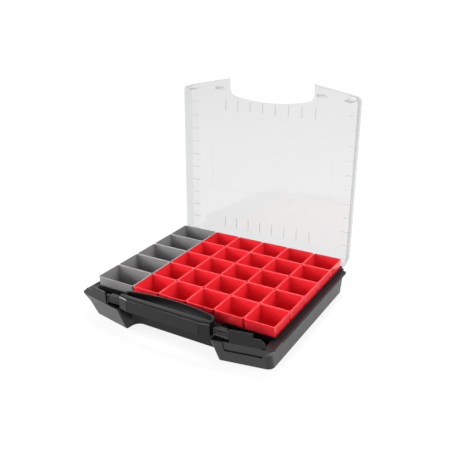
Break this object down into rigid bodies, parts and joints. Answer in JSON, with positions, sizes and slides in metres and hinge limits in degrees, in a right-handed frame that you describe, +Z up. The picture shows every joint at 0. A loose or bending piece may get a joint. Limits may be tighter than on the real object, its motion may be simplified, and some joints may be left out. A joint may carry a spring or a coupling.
{
  "type": "parts organizer case",
  "caption": "Flat small-parts case with a clear hinged lid, two front latches, a carrying grip and lift-out square and wide insert boxes.",
  "frame": {"origin": "middle of the flat underside of the base shell, between its two sides and midway between the grip's front face and the rear wall's foot", "axes": "+Z up, -Y towards the carrying grip, +X to the right seen from the grip; the lid's hinge line is parallel to X"},
  "size_m": [0.367, 0.365, 0.3641],
  "materials": {
    "case_plastic": "dark grey moulded plastic, fine satin texture",
    "latch_plastic": "dark grey moulded plastic, smooth satin",
    "pin_steel": "plain drawn steel pin",
    "clear_lid": "clear polished moulded plastic",
    "red_plastic": "bright red moulded plastic, semi-gloss",
    "grey_plastic": "mid grey moulded plastic, semi-gloss"
  },
  "bodies": {
    "case": {"base_shell": "case_plastic", "carry_handle": "case_plastic", "hinge_pins": "pin_steel"},
    "lid": {"lid": "clear_lid"},
    "left_latch": {"left_latch": "latch_plastic"},
    "right_latch": {"right_latch": "latch_plastic"},
    "red_box_row1_column1": {"red_box_row1_column1": "red_plastic"},
    "red_box_row1_column2": {"red_box_row1_column2": "red_plastic"},
    "red_box_row1_column3": {"red_box_row1_column3": "red_plastic"},
    "red_box_row1_column4": {"red_box_row1_column4": "red_plastic"},
    "red_box_row1_column5": {"red_box_row1_column5": "red_plastic"},
    "red_box_row2_column1": {"red_box_row2_column1": "red_plastic"},
    "red_box_row2_column2": {"red_box_row2_column2": "red_plastic"},
    "red_box_row2_column3": {"red_box_row2_column3": "red_plastic"},
    "red_box_row2_column4": {"red_box_row2_column4": "red_plastic"},
    "red_box_row2_column5": {"red_box_row2_column5": "red_plastic"},
    "red_box_row3_column1": {"red_box_row3_column1": "red_plastic"},
    "red_box_row3_column2": {"red_box_row3_column2": "red_plastic"},
    "red_box_row3_column3": {"red_box_row3_column3": "red_plastic"},
    "red_box_row3_column4": {"red_box_row3_column4": "red_plastic"},
    "red_box_row3_column5": {"red_box_row3_column5": "red_plastic"},
    "red_box_row4_column1": {"red_box_row4_column1": "red_plastic"},
    "red_box_row4_column2": {"red_box_row4_column2": "red_plastic"},
    "red_box_row4_column3": {"red_box_row4_column3": "red_plastic"},
    "red_box_row4_column4": {"red_box_row4_column4": "red_plastic"},
    "red_box_row4_column5": {"red_box_row4_column5": "red_plastic"},
    "red_box_row5_column1": {"red_box_row5_column1": "red_plastic"},
    "red_box_row5_column2": {"red_box_row5_column2": "red_plastic"},
    "red_box_row5_column3": {"red_box_row5_column3": "red_plastic"},
    "red_box_row5_column4": {"red_box_row5_column4": "red_plastic"},
    "red_box_row5_column5": {"red_box_row5_column5": "red_plastic"},
    "grey_box_row1": {"grey_box_row1": "grey_plastic"},
    "grey_box_row2": {"grey_box_row2": "grey_plastic"},
    "grey_box_row3": {"grey_box_row3": "grey_plastic"},
    "grey_box_row4": {"grey_box_row4": "grey_plastic"},
    "grey_box_row5": {"grey_box_row5": "grey_plastic"}
  },
  "joints": [
    {"name": "lid_hinge", "type": "hinge", "parent": "case", "child": "lid", "pos_m": [0, 0.1635, 0.0435], "axis": [-1, 0, 0], "range_deg": [-92.7, 0]},
    {"name": "left_latch_rock", "type": "hinge", "parent": "case", "child": "left_latch", "pos_m": [-0.1033, -0.145, 0.0514], "axis": [1, 0, 0], "range_deg": [0, 18], "stiffness_Nm_per_rad": 0.1, "springref_deg": -11.46},
    {"name": "right_latch_rock", "type": "hinge", "parent": "case", "child": "right_latch", "pos_m": [0.1033, -0.145, 0.0514], "axis": [1, 0, 0], "range_deg": [0, 18], "stiffness_Nm_per_rad": 0.1, "springref_deg": -11.46},
    {"name": "red_box_row1_column1_lift", "type": "slide", "parent": "case", "child": "red_box_row1_column1", "axis": [0, 0, 1], "range_m": [0, 0.08]},
    {"name": "red_box_row1_column2_lift", "type": "slide", "parent": "case", "child": "red_box_row1_column2", "axis": [0, 0, 1], "range_m": [0, 0.08]},
    {"name": "red_box_row1_column3_lift", "type": "slide", "parent": "case", "child": "red_box_row1_column3", "axis": [0, 0, 1], "range_m": [0, 0.08]},
    {"name": "red_box_row1_column4_lift", "type": "slide", "parent": "case", "child": "red_box_row1_column4", "axis": [0, 0, 1], "range_m": [0, 0.08]},
    {"name": "red_box_row1_column5_lift", "type": "slide", "parent": "case", "child": "red_box_row1_column5", "axis": [0, 0, 1], "range_m": [0, 0.08]},
    {"name": "red_box_row2_column1_lift", "type": "slide", "parent": "case", "child": "red_box_row2_column1", "axis": [0, 0, 1], "range_m": [0, 0.08]},
    {"name": "red_box_row2_column2_lift", "type": "slide", "parent": "case", "child": "red_box_row2_column2", "axis": [0, 0, 1], "range_m": [0, 0.08]},
    {"name": "red_box_row2_column3_lift", "type": "slide", "parent": "case", "child": "red_box_row2_column3", "axis": [0, 0, 1], "range_m": [0, 0.08]},
    {"name": "red_box_row2_column4_lift", "type": "slide", "parent": "case", "child": "red_box_row2_column4", "axis": [0, 0, 1], "range_m": [0, 0.08]},
    {"name": "red_box_row2_column5_lift", "type": "slide", "parent": "case", "child": "red_box_row2_column5", "axis": [0, 0, 1], "range_m": [0, 0.08]},
    {"name": "red_box_row3_column1_lift", "type": "slide", "parent": "case", "child": "red_box_row3_column1", "axis": [0, 0, 1], "range_m": [0, 0.08]},
    {"name": "red_box_row3_column2_lift", "type": "slide", "parent": "case", "child": "red_box_row3_column2", "axis": [0, 0, 1], "range_m": [0, 0.08]},
    {"name": "red_box_row3_column3_lift", "type": "slide", "parent": "case", "child": "red_box_row3_column3", "axis": [0, 0, 1], "range_m": [0, 0.08]},
    {"name": "red_box_row3_column4_lift", "type": "slide", "parent": "case", "child": "red_box_row3_column4", "axis": [0, 0, 1], "range_m": [0, 0.08]},
    {"name": "red_box_row3_column5_lift", "type": "slide", "parent": "case", "child": "red_box_row3_column5", "axis": [0, 0, 1], "range_m": [0, 0.08]},
    {"name": "red_box_row4_column1_lift", "type": "slide", "parent": "case", "child": "red_box_row4_column1", "axis": [0, 0, 1], "range_m": [0, 0.08]},
    {"name": "red_box_row4_column2_lift", "type": "slide", "parent": "case", "child": "red_box_row4_column2", "axis": [0, 0, 1], "range_m": [0, 0.08]},
    {"name": "red_box_row4_column3_lift", "type": "slide", "parent": "case", "child": "red_box_row4_column3", "axis": [0, 0, 1], "range_m": [0, 0.08]},
    {"name": "red_box_row4_column4_lift", "type": "slide", "parent": "case", "child": "red_box_row4_column4", "axis": [0, 0, 1], "range_m": [0, 0.08]},
    {"name": "red_box_row4_column5_lift", "type": "slide", "parent": "case", "child": "red_box_row4_column5", "axis": [0, 0, 1], "range_m": [0, 0.08]},
    {"name": "red_box_row5_column1_lift", "type": "slide", "parent": "case", "child": "red_box_row5_column1", "axis": [0, 0, 1], "range_m": [0, 0.08]},
    {"name": "red_box_row5_column2_lift", "type": "slide", "parent": "case", "child": "red_box_row5_column2", "axis": [0, 0, 1], "range_m": [0, 0.08]},
    {"name": "red_box_row5_column3_lift", "type": "slide", "parent": "case", "child": "red_box_row5_column3", "axis": [0, 0, 1], "range_m": [0, 0.08]},
    {"name": "red_box_row5_column4_lift", "type": "slide", "parent": "case", "child": "red_box_row5_column4", "axis": [0, 0, 1], "range_m": [0, 0.08]},
    {"name": "red_box_row5_column5_lift", "type": "slide", "parent": "case", "child": "red_box_row5_column5", "axis": [0, 0, 1], "range_m": [0, 0.08]},
    {"name": "grey_box_row1_lift", "type": "slide", "parent": "case", "child": "grey_box_row1", "axis": [0, 0, 1], "range_m": [0, 0.08]},
    {"name": "grey_box_row2_lift", "type": "slide", "parent": "case", "child": "grey_box_row2", "axis": [0, 0, 1], "range_m": [0, 0.08]},
    {"name": "grey_box_row3_lift", "type": "slide", "parent": "case", "child": "grey_box_row3", "axis": [0, 0, 1], "range_m": [0, 0.08]},
    {"name": "grey_box_row4_lift", "type": "slide", "parent": "case", "child": "grey_box_row4", "axis": [0, 0, 1], "range_m": [0, 0.08]},
    {"name": "grey_box_row5_lift", "type": "slide", "parent": "case", "child": "grey_box_row5", "axis": [0, 0, 1], "range_m": [0, 0.08]}
  ]
}
